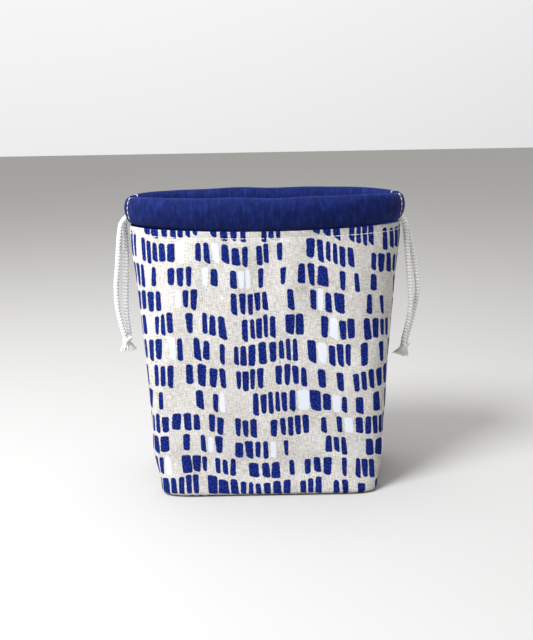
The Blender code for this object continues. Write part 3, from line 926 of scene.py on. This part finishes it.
def makeWall():
    # the canvas's outer face above the base's edge: sag, ripples, the topstitch's ditch, the seams' valleys
    wall = wallGrid(heights, body["columns"])
    wall += sagField(body["columns"], heights)
    rise, along = np.meshgrid(heights, np.arange(body["columns"]) * columnPitch, indexing="ij")
    fade = np.sin(np.clip((rise - low) / (high - low), 0, 1) * math.pi) ** 0.5
    ripple = smallNoise(along, rise, body["ripples"]) * fade
    ditch = -body["stitchDip"] * np.exp(-(((rise - high + body["stitchDrop"]) / (1.3 * mm)) ** 2))
    fromSeam = np.abs((along + body["halfCloth"]) % (2 * body["halfCloth"]) - body["halfCloth"])
    valley = -body["seamDip"] * np.exp(-((fromSeam / (1.6 * mm)) ** 2))
    wall += gridNormals(wall) * (ripple + ditch + valley)[:, :, None]
    wall[:, :, 2] += mouthLift(wall[:, :, 0]) * np.clip(rise / high, 0, 1) ** 10
    return wall


low, high = body["edgeRadius"], body["height"]
fineFrom = high - 9 * mm  # the rows lie closer where the casing is sewn on
coarseRows = np.arange(low, fineFrom, 2.6 * mm)
fineRows = np.arange(fineFrom, high + 0.1 * mm, 0.75 * mm)
heights = np.unique(np.concatenate([coarseRows, fineRows]).clip(max=high))
quarterCount = body["columns"] // 4
columnPitch = body["halfCloth"] / quarterCount
wall = makeWall()
wallOut = gridNormals(wall)


def halfColumns(ySide):
    # the columns of the front or of the back, from side seam to side seam
    first = 0 if ySide < 0 else 2 * quarterCount
    return [(first + k) % body["columns"] for k in range(2 * quarterCount + 1)]


def skinGrid(depth):
    # one face of a cloth layer, from the middle of the base to the top edge, and its place on the flat cloth
    radius = max(body["edgeRadius"] - depth, 0.4 * mm)
    rows, travelled = [], []
    edge = outline(0.0, depth + radius, body["columns"])
    toRight = np.linspace(-1, 1, 2 * quarterCount, endpoint=False)
    middleX = np.concatenate([toRight, -toRight]) * np.abs(edge[:, 0]).max()
    for share in np.linspace(0, 1, 9)[:-1]:
        x = edge[:, 0] * share + middleX * (1 - share)
        ring = np.column_stack([x, edge[:, 1] * share])
        rows.append(atHeight(ring, depth + baseArch(x, body["arch"]) * (1 - 0.3 * share)))
        travelled.append(-body["baseHalfDepth"] * (1 - share) - 3 * mm)
    for turn in np.radians([0, 22, 45, 68]):
        ring = outline(0.0, depth + radius * (1 - math.sin(turn)), body["columns"])
        arch = baseArch(ring[:, 0], body["edgeArch"]) * math.cos(turn)
        rows.append(atHeight(ring, depth + radius * (1 - math.cos(turn)) + arch))
        travelled.append(5 * mm * (turn - 1.2))
    pressed = np.clip((heights - body["height"] + 7 * mm) / (6 * mm), 0, 1)
    depths = depth * (1 - body["pressing"] * pressed**2 * (3 - 2 * pressed))
    rows = np.concatenate([np.array(rows), wall - wallOut * depths[:, None, None]])
    return rows, np.concatenate([travelled, heights])


def withoutSlivers(points, faces):
    # the same faces with coinciding points as one, and without the faces that shrink to a line
    _, first, places = np.unique(np.round(points, 6), axis=0, return_index=True, return_inverse=True)
    merged = first[places.reshape(-1)]
    kept = []
    for face in faces:
        corners = [int(merged[k]) for k in face]
        corners = [k for n, k in enumerate(corners) if k != corners[n - 1]]
        if len(corners) > 2 and len(set(corners)) == len(corners):
            kept.append(tuple(corners))
    return kept


def halfLayer(depth, thickness, ySide, trimmed):
    # a closed shell of cloth for the front or the back; trimmed leaves its top rows out
    outer, travelled = skinGrid(depth)
    inner, _ = skinGrid(depth + thickness)
    tall = len(travelled) - (4 if trimmed else 0)
    columns = halfColumns(ySide)
    wide = len(columns)
    across = (np.arange(wide) / quarterCount - 1) * body["halfCloth"] + (0.0 if ySide < 0 else 0.331)
    points = []
    for skin in (outer, inner):
        part = skin[:tall, columns].copy()
        part[:, :, 1] = ySide * np.maximum(np.abs(part[:, :, 1]), body["seamGap"])
        points.append(part.reshape(-1, 3))
    uvs = np.stack(np.meshgrid(across, travelled[:tall]), axis=2).reshape(-1, 2)
    faces = []
    inside = tall * wide
    for quad in gridFaces(tall, wide, closed=False):
        faces.append(quad)
        faces.append(tuple(inside + n for n in quad[::-1]))
    # round its border: along the bottom, up the left, along the top and down the right
    border = [*range(wide - 1, 0, -1), *range(0, inside - wide, wide)]
    border += [*range(inside - wide, inside - 1), *range(inside - 1, wide - 1, -wide)]
    faces += [(a, b, b + inside, a + inside) for a, b in zip(border, border[1:] + border[:1])]
    points = np.concatenate(points)
    return points, withoutSlivers(points, faces), np.concatenate([uvs, uvs])


for layer, (depth, thickness, material, slot) in layers.items():
    for half, ySide in halves:
        made = halfLayer(depth, thickness, ySide, layer == "interlining")
        addQuarters(layer, *made, materials[material], half, f"{layer}_{half}_panel", slot)

print("casings")

# The casing: a folded strip of navy cotton, gathered a little where it is sewn on, with its ends hemmed
casing = {
    "height": rimHigh[2] - rimLow[2],
    "thickness": casingThickness + 1.4 * mm,
    "wall": 0.7 * mm,
    "squareAbove": 1.95,  # the section is fuller over its top fold than where it is sewn on
    "squareBelow": 1.85,
    "alongSteps": 96,
    "roundSteps": 48,
    "endNarrow": 0.12,
    "gather": 0.55 * mm,
    "gatherBehind": 2.4 * mm,
    "slowWave": 0.45 * mm,
    "mostInward": 0.5 * mm,  # the gathers stand off the cords inside
}


def casingSurface(ySide, depth, turns, angles):
    # points of the casing's skin at each angle round the mouth and each turn round its section
    middle = (rimLow[2] + rimHigh[2]) / 2
    seeded = random.Random(11 if ySide < 0 else 12)
    waves = [[seeded.uniform(*span) for span in ((0.006, 0.016), (0, 6.28), (0.4, 1))] for _ in range(7)]
    ellipse = np.column_stack([-mouthHalfWidth * np.cos(angles), -mouthHalfDepth * np.sin(angles)])
    rows, uvs = [], []
    for angle, centre, arc in zip(angles, ellipse, distances(ellipse)):
        out = np.array((-math.cos(angle) * mouthHalfDepth, -math.sin(angle) * mouthHalfWidth))
        out /= np.linalg.norm(out)
        endShare = min(abs(centre[0]) / mouthHalfWidth, 1.0)
        pinch = max(0.0, (endShare - 0.80) / 0.19) ** 2
        ripple = sum(w[2] * math.sin(2 * math.pi * arc / w[0] + w[1]) for w in waves) / 3.2
        slow = math.sin(2 * math.pi * arc / 0.071 + 1.1) * 0.6
        slow += math.sin(2 * math.pi * arc / 0.043 + 2.0) * 0.4
        slow *= casing["slowWave"]
        row = []
        for turn in turns:
            across, lift = math.cos(turn), math.sin(turn)
            power = 2 / (casing["squareAbove"] if lift > 0 else casing["squareBelow"])
            outward = math.copysign(abs(across) ** power, across)
            upward = math.copysign(abs(lift) ** power, lift)
            thick = casing["thickness"] / 2 - depth
            tall = (casing["height"] / 2 - depth) * (1 - casing["endNarrow"] * pinch)
            if lift < 0:
                tall -= mouthLift(centre[0])
            amount = casing["gather"] * (0.35 + 0.65 * max(0.0, -lift))
            amount += casing["gatherBehind"] * max(0.0, -across) * 0.6
            sway = ripple * amount * (1 - pinch) + slow * abs(lift)
            away = max(sway * math.copysign(1, across), -casing["mostInward"])
            reach = outward * thick * (1 - 0.1 * pinch) + math.copysign(away, across) * abs(outward)
            point = centre + out * (reach - tuckIn(middle + upward * tall))
            z = middle + upward * tall + slow * max(0.0, lift) * (1 - pinch)
            row.append((point[0], -ySide * point[1], z - casing["endNarrow"] * pinch * tall * 0.2))
            uvs.append((arc, (turn + math.pi / 2) * 0.0072))
        rows.append(row)
    return np.array(rows), uvs


def addCasing(half, ySide):
    # even steps along the ellipse of the mouth, with a point exactly in its middle
    fine = np.linspace(math.asin(casingEndY / mouthHalfDepth), math.pi / 2, 2000)
    travelled = distances(np.column_stack([-mouthHalfWidth * np.cos(fine), -mouthHalfDepth * np.sin(fine)]))
    shares = np.linspace(0, 1, casing["alongSteps"] + 1)
    quarter = np.interp(shares * travelled[-1], travelled, fine)
    angles = np.concatenate([quarter, math.pi - quarter[-2::-1]])
    around = casing["roundSteps"]
    turns = np.linspace(-math.pi / 2, 1.5 * math.pi, around, endpoint=False)
    outer, uvs = casingSurface(ySide, 0.0, turns, angles)
    inner, _ = casingSurface(ySide, casing["wall"], turns, angles)
    points = np.concatenate([outer.reshape(-1, 3), inner.reshape(-1, 3)])
    count = len(outer) * around
    faces = []
    for quad in gridFaces(len(outer), around):
        inside = tuple(count + n for n in quad)
        faces.append(quad if ySide > 0 else quad[::-1])
        faces.append(inside[::-1] if ySide > 0 else inside)
    for row, flip in ((0, False), (len(outer) - 1, True)):
        for k in range(around):
            a, b = row * around + k, row * around + (k + 1) % around
            rim = (b, a, a + count, b + count)
            faces.append(rim[::-1] if flip == (ySide > 0) else rim)
    addQuarters("casing", points, faces, uvs * 2, materials["navy"], half, f"casing_{half}", "navy_cotton")
    return outer


casingSkins = {half: addCasing(half, ySide) for half, ySide in halves}

print("seams and stitches")

# Spun polyester thread, and the whipped edges of the canvas's seams
stitching = {
    "length": 2.5 * mm,
    "gap": 0.8 * mm,
    "radius": 0.22 * mm,
    "hemInset": 5.2 * mm,
    "whipping": 2.4 * mm,  # from one turn of the whipping to the next
}


def stitchLine(line, out):
    # separate stitches along a line of points, each one rising out of the cloth and going back in
    radius, pitch = stitching["radius"], stitching["length"] + stitching["gap"]
    travelled = distances(line)
    count = int(travelled[-1] / pitch)
    spare = (travelled[-1] - count * pitch + stitching["gap"]) / 2
    lift = radius * (1.5 * np.sin(np.linspace(0, math.pi, 6)) - 0.5)
    for k in range(count):
        begin = spare + k * pitch
        wanted = np.linspace(begin, begin + stitching["length"], 6)
        places, normals = (
            np.stack([np.interp(wanted, travelled, values[:, n]) for n in range(3)], axis=1)
            for values in (line, out)
        )
        yield tube(places + normals * lift[:, None], lambda s, turns: radius, 6)


def addStitches(name, line, out, node, half=None, side=0):
    # stitches along one half of the mouth, or else stitches that ride on the bag
    made = addMesh(name, *joined(stitchLine(line, out)), materials["thread"])
    if half:
        followMouth(made, half, side)
    else:
        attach(made, "bag")
    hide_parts(node)


def addTopstitch(half, ySide, side, word):
    row = int(np.argmin(np.abs(heights - body["height"] + body["stitchDrop"])))
    columns = halfColumns(ySide)
    columns = columns[: quarterCount + 1] if side == ySide else columns[quarterCount:]
    line, out = wall[row, columns], wallOut[row, columns]
    addStitches(f"topstitch_{half}_{word}", line, out, f"topstitch_{half}", half, side)


def addHemStitch(half, side, word):
    # up the casing's outer face, over the top and down its inner face, near one end
    skin = casingSkins[half]
    row = int(np.argmin(np.abs(distances(skin[:, 0]) - stitching["hemInset"])))
    row = row if side < 0 else len(skin) - 1 - row
    line = skin[row, 5:-4]
    along = skin[min(row + 1, len(skin) - 1)].mean(axis=0) - skin[max(row - 1, 0)].mean(axis=0)
    out = np.cross(np.gradient(line, axis=0), along)
    out /= np.linalg.norm(out, axis=1)[:, None]
    out *= np.sign(np.sum(out * (line - skin[row].mean(axis=0)), axis=1))[:, None]
    addStitches(f"hem_stitch_{half}_{word}", line, out, f"hem_stitch_{half}_{word}", half, side)


def addSeam(name, line, radius, ridge):
    # a turned edge of canvas, whipped over
    def radiusAt(travelled, turns):
        return radius * (1 + ridge * math.cos(2 * math.pi * travelled / stitching["whipping"]))

    made = addMesh(name, *tube(line, radiusAt, 10), materials["canvas"])
    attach(made, "bag")
    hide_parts(name)


def addSideSeam(side, word):
    # the turned edge that shows between front and back canvas
    k = 0 if side < 0 else 2 * quarterCount
    addSeam(f"side_seam_{word}", wall[:, k] - wallOut[:, k] * 0.25 * mm, 0.62 * mm, 0.12)


def addBaseSeam():
    reach = body["baseHalfWidth"] - body["edgeRadius"] - 0.5 * mm
    xs = np.linspace(-reach, reach, 120)
    line = np.column_stack([xs, 0 * xs, baseArch(xs, body["arch"]) + 0.62 * mm])
    addSeam("base_seam", line, 0.55 * mm, 0.1)


def addCornerSeam(side, word):
    # the stitched seam that boxes a bottom corner, along the base's short edge
    turn = math.radians(50)
    out = body["edgeRadius"] + 0.1 * mm
    x = side * (body["baseHalfWidth"] - body["edgeRadius"] + out * math.sin(turn))
    ys = np.linspace(-0.3, 0.3, 30) * 2 * body["baseHalfDepth"]
    line = np.column_stack([x + 0 * ys, ys, body["edgeRadius"] - out * math.cos(turn) + 0 * ys])
    normals = np.tile((side * math.sin(turn), 0, -math.cos(turn)), (len(ys), 1))
    addStitches(f"corner_stitch_{word}", line, normals, f"corner_seam_thread_{word}")


for half, ySide in halves:
    for word, side in sides:
        addTopstitch(half, ySide, side, word)
    for word, side in sides:
        addHemStitch(half, side, word)
for word, side in sides:
    addSideSeam(side, word)
    addCornerSeam(side, word)
addBaseSeam()

print("floor")

floorMaterial = newMaterial("paleMattFloor")
floorShader = floorMaterial.node_tree.nodes["Principled BSDF"]
floorShader.inputs["Base Color"].default_value = hexColour("#aeaca8")
floorShader.inputs["Roughness"].default_value = 0.9
floorMesh = newMesh("floor", [(-4, -4, 0), (4, -4, 0), (4, 4, 0), (-4, 4, 0)], [(0, 1, 2, 3)])
floorMesh.materials.append(floorMaterial)
floor = newObject("floor", floorMesh)
floor.location = (0, 0, -0.0002)
